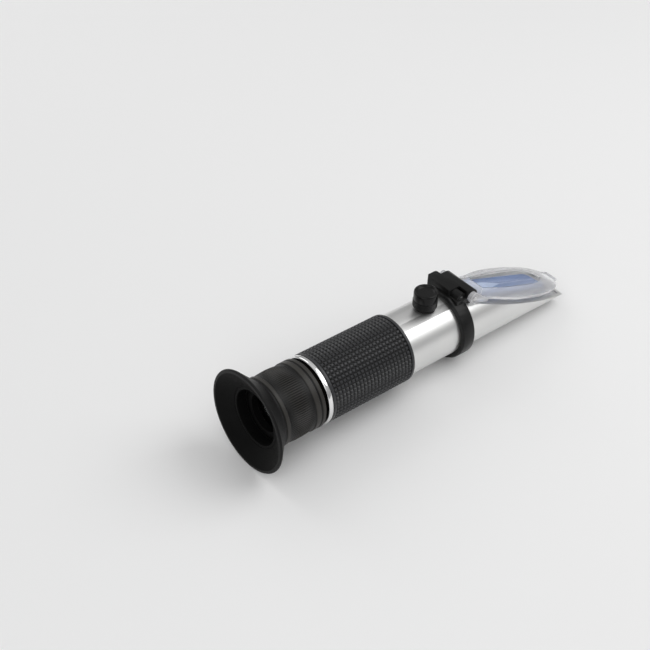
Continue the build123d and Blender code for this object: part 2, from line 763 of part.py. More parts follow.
# Cover plate: a clear bevelled cover with a thumb tab and two hinge arms
with BuildPart() as cover_plate:
    cover_top = cover_lift + cover_edge + cover_bevel
    with BuildSketch(slope(cover_lift)):
        add(cover_outline(cover_shape, cover_rear, cover_front))
    extrude(amount=cover_edge)
    with BuildSketch(slope(cover_lift + cover_edge)):
        add(cover_outline(cover_shape, cover_rear, cover_front))
    with BuildSketch(slope(cover_top)):
        add(cover_outline(window_shape, window_rear, window_front))
    loft(ruled=True)
    with BuildSketch(slope(cover_top)):
        add(cover_outline(window_shape, window_rear, window_front, window_border))
    extrude(amount=-window_recess, mode=Mode.SUBTRACT)
    with BuildSketch(slope(cover_lift)):
        with Locations((cover_front - tab_length, 0)):
            Rectangle(2 * tab_length, 2 * tab_half, align=(Align.MIN, Align.CENTER))
    extrude(amount=tab_thick)
    for side in (-1, 1):
        with BuildSketch(Plane.XZ.offset(side * (bracket_half + arm_gap))):
            with Locations((hinge_x, hinge_z)):
                Circle(arm_r)
            with BuildLine():
                Polyline(on_slope(0, hinge_lift + arm_r), on_slope(arm_length, cover_lift + cover_edge),
                         on_slope(arm_length, cover_lift), on_slope(0, cover_lift), close=True)
            make_face()
        extrude(amount=side * arm_wall)
    with BuildSketch(Plane.XZ):
        with Locations((hinge_x, hinge_z)):
            Circle(pin_r + slip)
    extrude(amount=2 * bar_far, both=True, mode=Mode.SUBTRACT)
save(cover_plate.part, "cover_plate")
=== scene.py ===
import json
from functools import cache
from math import cos, pi, radians, sin

import bmesh
import bpy
from bpy.props import FloatProperty, FloatVectorProperty, IntProperty, PointerProperty
from mathutils import Matrix, Vector


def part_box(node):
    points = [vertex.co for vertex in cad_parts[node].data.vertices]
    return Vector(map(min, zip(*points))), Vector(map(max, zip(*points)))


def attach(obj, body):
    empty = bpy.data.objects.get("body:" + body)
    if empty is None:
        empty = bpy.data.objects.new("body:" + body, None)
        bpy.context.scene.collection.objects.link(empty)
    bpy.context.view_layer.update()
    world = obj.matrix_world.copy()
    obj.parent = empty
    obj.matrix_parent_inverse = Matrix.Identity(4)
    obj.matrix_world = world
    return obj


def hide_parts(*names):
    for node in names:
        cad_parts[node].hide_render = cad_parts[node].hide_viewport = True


bl_info = {
    "name": "Hand-held Refractometer",
    "version": (1, 0, 0),
    "blender": (4, 5, 0),
    "location": "3D View > Sidebar > Refractometer",
    "description": "Finished surfaces, materials, light and camera for a hand-held refractometer",
    "category": "Object",
}

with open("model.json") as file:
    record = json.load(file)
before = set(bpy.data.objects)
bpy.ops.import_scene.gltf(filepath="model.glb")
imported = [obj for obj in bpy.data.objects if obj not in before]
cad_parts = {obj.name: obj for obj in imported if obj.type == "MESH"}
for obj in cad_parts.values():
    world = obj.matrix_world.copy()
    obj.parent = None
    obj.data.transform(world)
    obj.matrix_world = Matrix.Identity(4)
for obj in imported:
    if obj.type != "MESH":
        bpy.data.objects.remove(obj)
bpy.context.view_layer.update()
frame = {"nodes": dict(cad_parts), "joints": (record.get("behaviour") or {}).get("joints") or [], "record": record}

# Lengths are in metres. +X runs from the eyepiece to the nose and +Z is up, as in the frame.
MM = 0.001

SHARP_ANGLE = radians(32)  # an edge that turns more is shaded sharp
BEVEL_ANGLE = radians(24)  # an edge that turns more is rounded
FLAT_ANGLE = radians(0.6)  # faces that turn less become one
MERGE_GAP = 0.0001 * MM  # points closer than this become one
CUT_GAP = 0.00001 * MM  # points closer than this to a cutting plane lie on it
RUBBER_GAP = 0.03 * MM  # clearance of a rubber piece round what it is pushed on
NOISE_LOW, NOISE_HIGH = 0.3, 0.7  # range that noise mostly keeps to

# Places read from the frame
TUBE_LOW, TUBE_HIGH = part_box("main_tube")
GRIP_LOW, GRIP_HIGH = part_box("rubber_grip")
TRIM_LOW, TRIM_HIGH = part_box("trim_ring")
FOCUS_LOW, FOCUS_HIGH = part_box("focus_ring")
CUP_LOW, CUP_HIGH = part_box("eyecup")
KNOB_LOW, KNOB_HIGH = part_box("calibration_knob")
JOINTS = {joint["name"]: joint for joint in frame["joints"]}
MOUNTS = {mount["name"]: mount for mount in frame["record"]["mounts"]}
KNOB_CENTRE = Vector(JOINTS["knob_turn"]["pos_m"])
SLANT_POINT = Vector(MOUNTS["sample_face"]["pos_m"])
SLANT_NORMAL = Vector(MOUNTS["sample_face"]["axis"]).normalized()
SLANT_ALONG = Vector((SLANT_NORMAL.z, 0, -SLANT_NORMAL.x))

# Stands a turned shape, which is made along the X axis, upright in the knob's place
KNOB_UPRIGHT = Matrix.Translation((KNOB_CENTRE.x, KNOB_CENTRE.y, 0)) @ Matrix.Rotation(-pi / 2, 4, "Y")

# Heights of the grip's studs and of the focus ring's fine ribs
GRIP_RELIEF = 0.6 * MM
RIB_RELIEF = 0.32 * MM


# Nodes, meshes and pieces

def add_node(tree, kind, inputs=None, **settings):
    """A new node in a tree. Inputs are constants or sockets, by the input's name or number."""
    node = tree.nodes.new(kind)
    for key, value in settings.items():
        setattr(node, key, value)
    for key, value in (inputs or {}).items():
        if isinstance(value, bpy.types.NodeSocket):
            tree.links.new(value, node.inputs[key])
        else:
            node.inputs[key].default_value = value
    return node


def new_object(name, mesh, materials):
    """An object at the origin that shows a mesh, shaded smooth up to the sharp angle."""
    for material in materials:
        mesh.materials.append(material)
    mesh.shade_smooth()
    mesh.set_sharp_from_angle(angle=SHARP_ANGLE)
    piece = bpy.data.objects.new(name, mesh)
    bpy.context.scene.collection.objects.link(piece)
    return piece


def applied(piece):
    """The piece with its modifiers turned into a plain mesh."""
    depsgraph = bpy.context.evaluated_depsgraph_get()
    mesh = bpy.data.meshes.new_from_object(piece.evaluated_get(depsgraph))
    piece.modifiers.clear()
    piece.data = mesh
    mesh.shade_smooth()
    mesh.set_sharp_from_angle(angle=SHARP_ANGLE)
    return piece


def repainted(piece, finish, chosen):
    """The piece gets one more finish, on the faces that the test picks."""
    piece.data.materials.append(finish)
    for face in piece.data.polygons:
        if chosen(face):
            face.material_index = len(piece.data.materials) - 1


def hand_over(piece, body, slot, *nodes):
    """A finished piece rides on its body and stands for its nodes, which are hidden. The slot is not used."""
    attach(piece, body)
    if nodes:
        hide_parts(*nodes)


def rounded(points, steps=4):
    """A closed outline of (x, y, radius) corners, with each corner of a radius turned into an arc."""
    outline = []
    count = len(points)
    for index, (x, y, radius) in enumerate(points):
        here = Vector((x, y))
        if radius <= 0:
            outline.append((x, y))
            continue
        back = (Vector(points[index - 1][:2]) - here).normalized()
        ahead = (Vector(points[(index + 1) % count][:2]) - here).normalized()
        half = back.angle(ahead) / 2
        reach = radius * cos(half) / sin(half)
        centre = here + (back + ahead).normalized() * radius / sin(half)
        start = here + back * reach - centre
        turn = start.angle_signed(here + ahead * reach - centre)
        for step in range(steps + 1):
            angle = -turn * step / steps
            spot = centre + Matrix.Rotation(angle, 2) @ start
            outline.append((spot.x, spot.y))
    return outline


def lathe_mesh(name, outline, turns=192, place=Matrix.Identity(4)):
    """A closed outline of (x, radius) points turned about the X axis, then moved by a matrix."""
    shape = bmesh.new()
    rings = []
    for x, radius in outline:
        if radius < MERGE_GAP:
            rings.append([shape.verts.new((x, 0, 0))] * turns)
            continue
        angles = (2 * pi * step / turns for step in range(turns))
        rings.append([shape.verts.new((x, radius * sin(a), radius * cos(a))) for a in angles])
    for index, ring in enumerate(rings):
        after = rings[(index + 1) % len(rings)]
        for step in range(turns):
            follow = (step + 1) % turns
            corners = [ring[step], ring[follow], after[follow], after[step]]
            corners = [c for i, c in enumerate(corners) if c not in corners[:i]]
            if len(corners) > 2:
                shape.faces.new(corners)
    bmesh.ops.recalc_face_normals(shape, faces=shape.faces)
    shape.transform(place)
    mesh = bpy.data.meshes.new(name)
    shape.to_mesh(mesh)
    shape.free()
    return mesh


def softened_copy(name, node, width, segments, materials, edge_material=-1):
    """A merged copy of a node's mesh with its sharp edges rounded."""
    shape = bmesh.new()
    shape.from_mesh(frame["nodes"][node].data)
    bmesh.ops.remove_doubles(shape, verts=shape.verts, dist=MERGE_GAP)
    bmesh.ops.dissolve_limit(shape, angle_limit=FLAT_ANGLE, verts=shape.verts, edges=shape.edges)
    mesh = bpy.data.meshes.new(name)
    shape.to_mesh(mesh)
    shape.free()
    mesh.materials.clear()
    piece = new_object(name, mesh, materials)
    bevel = piece.modifiers.new("Rounded edges", "BEVEL")
    bevel.width = width
    bevel.segments = segments
    bevel.limit_method = "ANGLE"
    bevel.angle_limit = BEVEL_ANGLE
    bevel.material = edge_material
    bevel.harden_normals = True
    return applied(piece)


# What the finishes are made with

def grey(level):
    """A colour without a tint."""
    return (level, level, level)


def shader(name, colour, roughness, metallic=0.0, transmission=0.0, ior=1.45, specular=0.5):
    """A new material, its tree and its Principled shader, with their constants set."""
    material = bpy.data.materials.new(name)
    material.use_nodes = True
    material.diffuse_color = (*colour, 1)
    tree = material.node_tree
    principled = tree.nodes["Principled BSDF"]
    constants = {
        "Base Color": (*colour, 1), "Roughness": roughness, "Metallic": metallic,
        "Transmission Weight": transmission, "IOR": ior, "Specular IOR Level": specular,
    }
    for socket, value in constants.items():
        principled.inputs[socket].default_value = value
    return material, tree, principled


def object_noise(tree, scale, stretch=(1, 1, 1), detail=3.0):
    """Noise over the piece's own coordinates, in features per metre, drawn out along its axes."""
    place = add_node(tree, "ShaderNodeTexCoord")
    spread = add_node(tree, "ShaderNodeMapping", {"Vector": place.outputs["Object"], "Scale": stretch})
    noise = add_node(tree, "ShaderNodeTexNoise",
                     {"Vector": spread.outputs[0], "Scale": scale, "Detail": detail, "Roughness": 0.55})
    return noise.outputs["Fac"]


def between(tree, factor, low, high):
    """A number that runs from low to high over the range of the noise."""
    ramp = add_node(tree, "ShaderNodeMapRange", {
        "Value": factor, "From Min": NOISE_LOW, "From Max": NOISE_HIGH, "To Min": low, "To Max": high})
    return ramp.outputs["Result"]


def tinted(tree, factor, dark, light):
    """A colour that runs from dark to light over the range of the noise."""
    ramp = add_node(tree, "ShaderNodeValToRGB", {"Fac": factor})
    ramp.color_ramp.elements[0].position = NOISE_LOW
    ramp.color_ramp.elements[0].color = (*dark, 1)
    ramp.color_ramp.elements[1].position = NOISE_HIGH
    ramp.color_ramp.elements[1].color = (*light, 1)
    return ramp.outputs["Color"]


def bumped(tree, principled, height, distance):
    """The height raises the surface by a distance in metres."""
    bump = add_node(tree, "ShaderNodeBump", {"Height": height, "Distance": distance, "Strength": 1.0})
    tree.links.new(bump.outputs["Normal"], principled.inputs["Normal"])


def grained(name, dark, light, smooth, rough, grain, height, specular=0.5):
    """A dark surface with a fine grain: its colour, gloss and height all vary."""
    material, tree, principled = shader(name, light, (smooth + rough) / 2, specular=specular)
    fine = object_noise(tree, grain)
    clouds = object_noise(tree, 70, detail=4)
    tree.links.new(tinted(tree, clouds, dark, light), principled.inputs["Base Color"])
    tree.links.new(between(tree, fine, smooth, rough), principled.inputs["Roughness"])
    bumped(tree, principled, fine, height)
    return material


def shade_and_highlight_by_height(name, top, relief, dark, light, smooth, rough, specular):
    """A barrel's ribs or studs: painted shade in the valleys and a painted highlight on their tops."""
    material, tree, principled = shader(name, light, (smooth + rough) / 2, specular=specular)
    place = add_node(tree, "ShaderNodeTexCoord")
    sideways = add_node(tree, "ShaderNodeVectorMath", {0: place.outputs["Object"], 1: (0, 1, 1)},
                        operation="MULTIPLY")
    reach = add_node(tree, "ShaderNodeVectorMath", {0: sideways.outputs[0]}, operation="LENGTH")
    # The height above the valleys sets the colour: painted shade low, painted highlight high
    height = add_node(tree, "ShaderNodeMapRange", {
        "Value": reach.outputs["Value"], "From Min": top - relief, "From Max": top,
        "To Min": NOISE_LOW, "To Max": NOISE_HIGH})
    fine = object_noise(tree, 3000)
    tree.links.new(tinted(tree, height.outputs["Result"], dark, light), principled.inputs["Base Color"])
    tree.links.new(between(tree, fine, smooth, rough), principled.inputs["Roughness"])
    bumped(tree, principled, fine, 0.015 * MM)
    return material


def turned_metal(name, dark, light, smooth, rough):
    """Machined metal, with its cutting marks across the piece's length."""
    material, tree, principled = shader(name, light, (smooth + rough) / 2, metallic=1.0)
    marks = object_noise(tree, 90, stretch=(25, 1, 1), detail=4)
    tree.links.new(tinted(tree, marks, dark, light), principled.inputs["Base Color"])
    tree.links.new(between(tree, marks, smooth, rough), principled.inputs["Roughness"])
    bumped(tree, principled, marks, 0.008 * MM)
    return material


def see_through(name, dark, light, smooth, rough, transmission, ior, streaks=0.0):
    """Glass or clear plastic. Streaks is the height of the faint marks along its slant."""
    material, tree, principled = shader(name, light, smooth, transmission=transmission, ior=ior)
    flow = object_noise(tree, 60, stretch=(1, 12, 4), detail=2)
    tree.links.new(tinted(tree, flow, dark, light), principled.inputs["Base Color"])
    tree.links.new(between(tree, flow, smooth, rough), principled.inputs["Roughness"])
    if streaks:
        bumped(tree, principled, flow, streaks)
    return material


# Finishes: each makes its material when it is first called, and gives the same one from then on

@cache
def satin_aluminium():
    """The barrel: turned aluminium with fine marks that run round it."""
    material, tree, principled = shader("satin_aluminium", (0.8, 0.8, 0.79), 0.28, metallic=1.0)
    marks = object_noise(tree, 12, stretch=(500, 1, 1))
    clouds = object_noise(tree, 60)
    tree.links.new(between(tree, marks, 0.36, 0.41), principled.inputs["Roughness"])
    tree.links.new(tinted(tree, clouds, (0.76, 0.76, 0.755), (0.79, 0.79, 0.78)),
                   principled.inputs["Base Color"])
    bumped(tree, principled, marks, 0.001 * MM)
    return material


@cache
def polished_chrome():
    """The trim ring: bright plated metal with faint turning marks."""
    material, tree, principled = shader("polished_chrome", grey(0.86), 0.1, metallic=1.0)
    marks = object_noise(tree, 70, stretch=(30, 1, 1))
    tree.links.new(between(tree, marks, 0.07, 0.16), principled.inputs["Roughness"])
    tree.links.new(tinted(tree, marks, (0.84, 0.84, 0.845), (0.89, 0.89, 0.885)),
                   principled.inputs["Base Color"])
    return material


@cache
def black_coating():
    """The hinge band's black coat."""
    return grained("black_coating", grey(0.005), grey(0.01), smooth=0.28, rough=0.4, grain=2600,
                   height=0.012 * MM, specular=0.24)


@cache
def painted_edge_highlight():
    """The hinge band's edges: a paler black, a painted highlight along its bevels."""
    return grained("painted_edge_highlight", (0.03, 0.03, 0.031), (0.07, 0.07, 0.072), smooth=0.22, rough=0.32,
                   grain=2600, height=0.008 * MM)


@cache
def grip_rubber():
    """The grip: painted shade between its studs and a painted highlight on their tops."""
    return shade_and_highlight_by_height("grip_rubber", GRIP_HIGH.y, GRIP_RELIEF, grey(0.002), (0.026, 0.027, 0.03),
                           smooth=0.3, rough=0.42, specular=0.55)


@cache
def cup_rubber():
    """The outside of the eyecup."""
    return grained("cup_rubber", grey(0.003), grey(0.007), smooth=0.42, rough=0.56, grain=2400,
                   height=0.02 * MM, specular=0.22)


@cache
def ring_plastic():
    """The focus ring: painted shade between its ribs and a painted highlight on their tops."""
    return shade_and_highlight_by_height("ring_plastic", FOCUS_HIGH.y, RIB_RELIEF, grey(0.003), (0.034, 0.032, 0.029),
                           smooth=0.34, rough=0.46, specular=0.3)


@cache
def knob_plastic():
    """The calibration knob, glossier than the other black pieces."""
    return grained("knob_plastic", grey(0.003), grey(0.006), smooth=0.2, rough=0.28, grain=3000,
                   height=0.006 * MM, specular=0.28)


@cache
def dull_black_and_painted_shade():
    """Dull black for what lies round the light's path, and painted shade inside the eyecup and on the focus ring's
    spigot.
    """
    return grained("dull_black_and_painted_shade", grey(0.002), grey(0.005), smooth=0.5, rough=0.7, grain=3000,
                   height=0.01 * MM, specular=0.1)


@cache
def seal_rubber():
    """The gasket under the knob."""
    return grained("seal_rubber", grey(0.006), grey(0.014), smooth=0.5, rough=0.65, grain=3000,
                   height=0.01 * MM, specular=0.3)


@cache
def bed_metal():
    """The pale bed round the prism."""
    return turned_metal("bed_metal", (0.68, 0.68, 0.69), (0.76, 0.76, 0.77), smooth=0.3, rough=0.4)


@cache
def bed_cement():
    """The grey line between the prism and its bed."""
    return grained("bed_cement", (0.2, 0.22, 0.27), (0.28, 0.3, 0.36), smooth=0.4, rough=0.5, grain=2000,
                   height=0.01 * MM, specular=0.3)


@cache
def bright_steel():
    """Pins, the clamp screw, the thrust pad and the leaf spring."""
    return turned_metal("bright_steel", (0.55, 0.55, 0.56), (0.7, 0.7, 0.71), smooth=0.16, rough=0.28)


@cache
def turned_brass():
    """The bush, the lock rings and the calibration screw."""
    return turned_metal("turned_brass", (0.62, 0.46, 0.2), (0.76, 0.6, 0.3), smooth=0.2, rough=0.32)


@cache
def blackened_brass():
    """The eyepiece's sleeve."""
    return turned_metal("blackened_brass", (0.012, 0.01, 0.008), (0.03, 0.026, 0.02), smooth=0.3, rough=0.42)


@cache
def cover_rim():
    """The cover's bevels and margin, half clear."""
    return see_through("cover_rim", (0.74, 0.74, 0.76), (0.86, 0.86, 0.88), smooth=0.14, rough=0.24,
                       transmission=0.6, ior=1.35, streaks=0.02 * MM)


@cache
def cover_edge():
    """The bright lines along the cover's edges: a painted highlight, near white and less clear."""
    return see_through("cover_edge", (0.94, 0.94, 0.95), grey(0.98), smooth=0.1, rough=0.2,
                       transmission=0.1, ior=1.49)


@cache
def cover_window():
    """The clear middle of the cover, over the prism."""
    return see_through("cover_window", (0.95, 0.96, 0.98), (0.98, 0.99, 1.0), smooth=0.01, rough=0.05,
                       transmission=1.0, ior=1.08)


@cache
def clear_glass():
    """The lenses and the reticle."""
    return see_through("clear_glass", (0.9, 0.93, 0.95), (0.97, 0.98, 1.0), smooth=0.01, rough=0.03,
                       transmission=1.0, ior=1.5)


@cache
def prism_blue():
    """The prism: blue glass, paler in a wedge that narrows from the hinge towards the nose."""
    wedge_start, wedge_tip = 26 * MM, 44 * MM
    wedge_half_width = 5.2 * MM
    blur = 0.3 * MM
    # The Mix node's colour sockets share their names with other sockets, so they go by number.
    first_colour, second_colour, mixed_colour = 6, 7, 2
    material, tree, principled = shader("prism_blue", (0.2, 0.3, 0.6), 0.08, ior=1.5)
    place = add_node(tree, "ShaderNodeTexCoord")
    parts = add_node(tree, "ShaderNodeSeparateXYZ", {"Vector": place.outputs["Object"]})
    reach = add_node(tree, "ShaderNodeMapRange", {
        "Value": parts.outputs["X"], "From Min": wedge_start, "From Max": wedge_tip,
        "To Min": wedge_half_width, "To Max": 0})
    across = add_node(tree, "ShaderNodeMath", {0: parts.outputs["Y"]}, operation="ABSOLUTE")
    inside = add_node(tree, "ShaderNodeMath", {0: reach.outputs[0], 1: across.outputs[0]},
                      operation="SUBTRACT")
    edge = add_node(tree, "ShaderNodeMapRange", {
        "Value": inside.outputs[0], "From Min": -blur, "From Max": blur})
    clouds = object_noise(tree, 110, stretch=(1, 3, 1))
    deep = tinted(tree, clouds, (0.21, 0.29, 0.5), (0.27, 0.35, 0.58))
    pale = tinted(tree, clouds, (0.52, 0.62, 0.84), (0.62, 0.71, 0.9))
    mix = add_node(tree, "ShaderNodeMix", {
        "Factor": edge.outputs[0], first_colour: deep, second_colour: pale}, data_type="RGBA")
    tree.links.new(mix.outputs[mixed_colour], principled.inputs["Base Color"])
    tree.links.new(between(tree, clouds, 0.05, 0.12), principled.inputs["Roughness"])
    return material


# Geometry Nodes trees for what repeats

def new_tree(name, sockets):
    """An empty tree with a geometry input and output and more named inputs: (name, kind, default)."""
    tree = bpy.data.node_groups.new(name, "GeometryNodeTree")
    tree.interface.new_socket("Geometry", in_out="INPUT", socket_type="NodeSocketGeometry")
    for label, kind, default in sockets:
        socket = tree.interface.new_socket(label, in_out="INPUT", socket_type="NodeSocket" + kind)
        if default is not None:
            socket.default_value = default
    tree.interface.new_socket("Geometry", in_out="OUTPUT", socket_type="NodeSocketGeometry")
    return tree, add_node(tree, "NodeGroupInput"), add_node(tree, "NodeGroupOutput")


def arithmetic(tree, operation, first, second=0.0):
    """One sum on two numbers or sockets."""
    return add_node(tree, "ShaderNodeMath", {0: first, 1: second}, operation=operation).outputs[0]


def join_copies(tree, given, result, copies):
    """The copies joined to the geometry given, made real, and all of it in the tree's material."""
    joined = add_node(tree, "GeometryNodeJoinGeometry", {"Geometry": copies.outputs[0]})
    tree.links.new(given.outputs["Geometry"], joined.inputs[0])
    realized = add_node(tree, "GeometryNodeRealizeInstances", {"Geometry": joined.outputs[0]})
    coloured = add_node(tree, "GeometryNodeSetMaterial", {
        "Geometry": realized.outputs[0], "Material": given.outputs["Material"]})
    tree.links.new(coloured.outputs[0], result.inputs[0])


def studs_tree():
    """Copies of one stud in rows along the X axis and columns round it, joined to the geometry."""
    tree, given, result = new_tree("Studs round a barrel", [
        ("Stud", "Object", None), ("Rows", "Int", 22), ("Columns", "Int", 48), ("Radius", "Float", 0.013),
        ("Start", "Float", -0.05), ("Length", "Float", 0.035), ("Material", "Material", None),
    ])
    total = arithmetic(tree, "MULTIPLY", given.outputs["Rows"], given.outputs["Columns"])
    points = add_node(tree, "GeometryNodePoints", {"Count": total})
    index = add_node(tree, "GeometryNodeInputIndex").outputs[0]
    column = arithmetic(tree, "FLOOR", arithmetic(tree, "DIVIDE", index, given.outputs["Rows"]))
    row = arithmetic(tree, "MODULO", index, given.outputs["Rows"])
    pitch = arithmetic(tree, "DIVIDE", given.outputs["Length"], given.outputs["Rows"])
    along = arithmetic(tree, "MULTIPLY", arithmetic(tree, "ADD", row, 0.5), pitch)
    along = arithmetic(tree, "ADD", along, given.outputs["Start"])
    step = arithmetic(tree, "DIVIDE", 2 * pi, given.outputs["Columns"])
    turn = arithmetic(tree, "MULTIPLY", column, step)
    side = arithmetic(tree, "MULTIPLY", arithmetic(tree, "SINE", turn), given.outputs["Radius"])
    side = arithmetic(tree, "MULTIPLY", side, -1.0)
    up = arithmetic(tree, "MULTIPLY", arithmetic(tree, "COSINE", turn), given.outputs["Radius"])
    spot = add_node(tree, "ShaderNodeCombineXYZ", {"X": along, "Y": side, "Z": up})
    placed = add_node(tree, "GeometryNodeSetPosition",
                      {"Geometry": points.outputs[0], "Position": spot.outputs[0]})
    stud = add_node(tree, "GeometryNodeObjectInfo", {"Object": given.outputs["Stud"]})
    rotation = add_node(tree, "ShaderNodeCombineXYZ", {"X": turn})
    copies = add_node(tree, "GeometryNodeInstanceOnPoints", {
        "Points": placed.outputs[0], "Instance": stud.outputs["Geometry"], "Rotation": rotation.outputs[0]})
    join_copies(tree, given, result, copies)
    return tree


def rings_tree():
    """Thin round hoops, stacked along the Z axis, joined to the geometry."""
    tree, given, result = new_tree("Stacked hoops", [
        ("Count", "Int", 5), ("Radius", "Float", 0.004), ("Thickness", "Float", 0.0002),
        ("Centre", "Vector", None), ("Pitch", "Float", 0.0006), ("Material", "Material", None),
    ])
    path = add_node(tree, "GeometryNodeCurvePrimitiveCircle",
                    {"Resolution": 96, "Radius": given.outputs["Radius"]})
    wire = add_node(tree, "GeometryNodeCurvePrimitiveCircle",
                    {"Resolution": 10, "Radius": given.outputs["Thickness"]})
    hoop = add_node(tree, "GeometryNodeCurveToMesh", {0: path.outputs[0], 1: wire.outputs[0]})
    smooth = add_node(tree, "GeometryNodeSetShadeSmooth", {0: hoop.outputs[0]})
    offset = add_node(tree, "ShaderNodeCombineXYZ", {"Z": given.outputs["Pitch"]})
    line = add_node(tree, "GeometryNodeMeshLine", {
        "Count": given.outputs["Count"], "Start Location": given.outputs["Centre"],
        "Offset": offset.outputs[0]})
    copies = add_node(tree, "GeometryNodeInstanceOnPoints",
                      {"Points": line.outputs[0], "Instance": smooth.outputs[0]})
    join_copies(tree, given, result, copies)
    return tree


def grown(piece, tree, values):
    """The piece with a tree's result as its plain mesh. Values are given by the inputs' names."""
    modifier = piece.modifiers.new(tree.name, "NODES")
    modifier.node_group = tree
    for socket in tree.interface.items_tree:
        if socket.in_out == "INPUT" and socket.name in values:
            modifier[socket.identifier] = values[socket.name]
    return applied(piece)


def domed_stud(name, length, width, height, top, steps):
    """A stud with a flat, soft-edged top, standing on the XY plane, its sides sloping in."""
    shape = bmesh.new()
    grid = []
    for column in range(steps + 1):
        line = []
        for row in range(steps + 1):
            u = 2 * column / steps - 1
            v = 2 * row / steps - 1
            rise = min(1.0, (1 - abs(u)) / (1 - top), (1 - abs(v)) / (1 - top))
            rise = rise * rise * (3 - 2 * rise)
            line.append(shape.verts.new((u * length / 2, v * width / 2, height * rise)))
        grid.append(line)
    for column in range(steps):
        for row in range(steps):
            shape.faces.new((grid[column][row], grid[column + 1][row], grid[column + 1][row + 1],
                             grid[column][row + 1]))
    mesh = bpy.data.meshes.new(name)
    shape.to_mesh(mesh)
    shape.free()
    mesh.shade_smooth()
    return bpy.data.objects.new(name, mesh)


# Settings

class BarrelSettings(bpy.types.PropertyGroup):
    """Sizes of the aluminium barrel and its trim ring"""
    bore: FloatProperty(name="Bore radius", description="Inner radius of the barrel", default=11.1 * MM,
                        unit="LENGTH")
    nose_wall: FloatProperty(name="Nose wall", description="Wall that closes the blunt end",
                             default=1.5 * MM, unit="LENGTH")
    edge: FloatProperty(name="Edge", description="Rounding of the turned edges", default=0.3 * MM,
                        unit="LENGTH")
    face_rise: FloatProperty(name="Face above cut", description="Prism's face above the barrel's cut",
                             default=1.05 * MM, unit="LENGTH")
    trim_edge: FloatProperty(name="Trim rounding", description="Rounding of the bright trim ring",
                             default=0.6 * MM, unit="LENGTH")
    bush_hole: FloatProperty(name="Bush hole", description="Radius of the hole under the knob",
                             default=2.6 * MM, unit="LENGTH")


class GripSettings(bpy.types.PropertyGroup):
    """Pattern of the checkered rubber grip"""
    rows: IntProperty(name="Rows", description="Studs along the grip", default=22)
    columns: IntProperty(name="Columns", description="Studs round the grip", default=48)
    border: FloatProperty(name="Border", description="Smooth border at each end", default=1.3 * MM,
                          unit="LENGTH")
    stud_height: FloatProperty(name="Stud height", description="Height of the studs", default=GRIP_RELIEF,
                               unit="LENGTH")
    stud_top: FloatProperty(name="Stud top", description="Flat share of a stud's width", default=0.36)


class EyepieceSettings(bpy.types.PropertyGroup):
    """Sizes of the focus ring and the eyecup"""
    flutes: IntProperty(name="Flutes", description="Fine ribs round the focus ring", default=98)
    flute_height: FloatProperty(name="Flute height", description="Height of the fine ribs",
                                default=RIB_RELIEF, unit="LENGTH")
    shoulder_front: FloatProperty(name="Front shoulder", description="Smooth part before the ribs",
                                  default=4.2 * MM, unit="LENGTH")
    shoulder_rear: FloatProperty(name="Rear shoulder", description="Smooth part behind the ribs",
                                 default=1.6 * MM, unit="LENGTH")
    spigot: FloatProperty(name="Spigot radius", description="Radius of the spigot in the eyecup",
                          default=12.0 * MM, unit="LENGTH")
    spigot_bore: FloatProperty(name="Spigot bore", description="Bore radius of the spigot",
                               default=10.8 * MM, unit="LENGTH")
    lip: FloatProperty(name="Lip", description="Thickness of the eyecup's lip", default=1.3 * MM,
                       unit="LENGTH")
    lens_edge: FloatProperty(name="Lens edge", description="Chamfer round the eye lens", default=0.05 * MM,
                             unit="LENGTH")


class KnobSettings(bpy.types.PropertyGroup):
    """Sizes of the calibration knob"""
    cap: FloatProperty(name="Cap", description="Height of the plain cap", default=3.6 * MM, unit="LENGTH")
    base: FloatProperty(name="Base radius", description="Radius of the ribbed base", default=4.7 * MM,
                        unit="LENGTH")
    rim: FloatProperty(name="Rim", description="Width of the rim round the dish", default=0.75 * MM,
                       unit="LENGTH")
    dish: FloatProperty(name="Dish", description="Depth of the dished top", default=0.8 * MM,
                        unit="LENGTH")
    ribs: IntProperty(name="Ribs", description="Hoops round the base", default=5)


class CoverSettings(bpy.types.PropertyGroup):
    """Edges of the clear cover, the prism and the hinge band"""
    cover_edge: FloatProperty(name="Cover edge", description="Width of the cover's bright edges",
                              default=0.22 * MM, unit="LENGTH")
    prism_edge: FloatProperty(name="Prism edge", description="Rounding of the prism", default=0.12 * MM,
                              unit="LENGTH")
    band_edge: FloatProperty(name="Band edge", description="Rounding of the hinge band",
                             default=0.2 * MM, unit="LENGTH")
    tab: FloatProperty(name="Tab length", description="Length of the cover's thumb tab",
                       default=2.4 * MM, unit="LENGTH")
    tab_taper: FloatProperty(name="Tab taper", description="Share of its width that the tab loses",
                             default=0.3, min=0, max=1)


class StageSettings(bpy.types.PropertyGroup):
    """Camera, light and floor"""
    camera_place: FloatVectorProperty(name="Camera", description="Place of the camera",
                                      subtype="TRANSLATION", default=(-0.2754, -0.2698, 0.3166))
    camera_turn: FloatVectorProperty(
        name="Camera turn", description="Direction of the camera", subtype="EULER",
        default=(radians(50.769), radians(-1.890), radians(-38.993)))
    lens: FloatProperty(name="Lens", description="Focal length in millimetres on a 36 mm sensor",
                        default=73.1)
    floor_colour: FloatVectorProperty(name="Floor", description="Colour of the floor", subtype="COLOR",
                                      default=(0.88, 0.88, 0.88), min=0, max=1)
    floor_side: FloatProperty(name="Floor side", description="Side of the square floor", default=6.0,
                              unit="LENGTH")
    sky: FloatProperty(name="Sky", description="Strength of the even light all round", default=0.6)


# Operators

